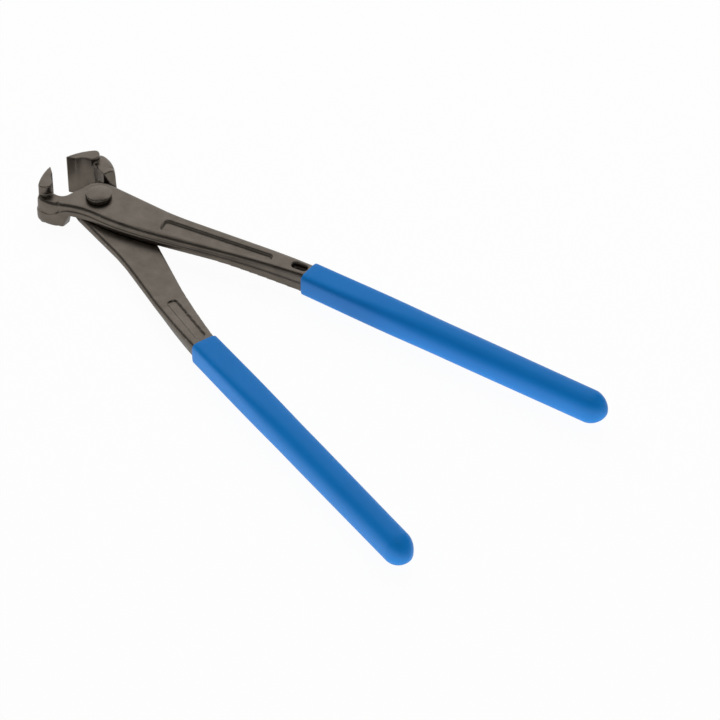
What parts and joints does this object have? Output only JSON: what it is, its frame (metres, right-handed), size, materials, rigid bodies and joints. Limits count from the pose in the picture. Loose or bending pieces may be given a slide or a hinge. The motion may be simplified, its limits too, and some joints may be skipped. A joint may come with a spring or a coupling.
{
  "type": "concreters nippers",
  "caption": "Long-handled end-cutting nippers for twisting and cutting tie wire: forged dark steel halves on a rivet, with blue dipped plastic grips.",
  "frame": {"origin": "under the middle of the tool's outline, on the plane of the blades' undersides", "axes": "+Z along the pivot axis, towards the rivet's head; +X along the tool, towards the jaws; +Y towards the jaw of the upper half"},
  "size_m": [0.2734, 0.1262, 0.02],
  "materials": {
    "burnished_steel": "dark burnished forging, semi-gloss",
    "rivet_steel": "dark burnished rivet, semi-gloss",
    "blue_plastic": "dipped plastic, satin"
  },
  "bodies": {
    "lower_half": {"lower_lever": "burnished_steel", "lower_grip": "blue_plastic", "pivot_rivet": "rivet_steel"},
    "upper_half": {"upper_lever": "burnished_steel", "upper_grip": "blue_plastic"}
  },
  "joints": [
    {"name": "rivet_hinge", "type": "hinge", "parent": "lower_half", "child": "upper_half", "pos_m": [0.109, 0, 0.01], "axis": [0, 0, 1], "range_deg": [-18.5, 47]}
  ]
}
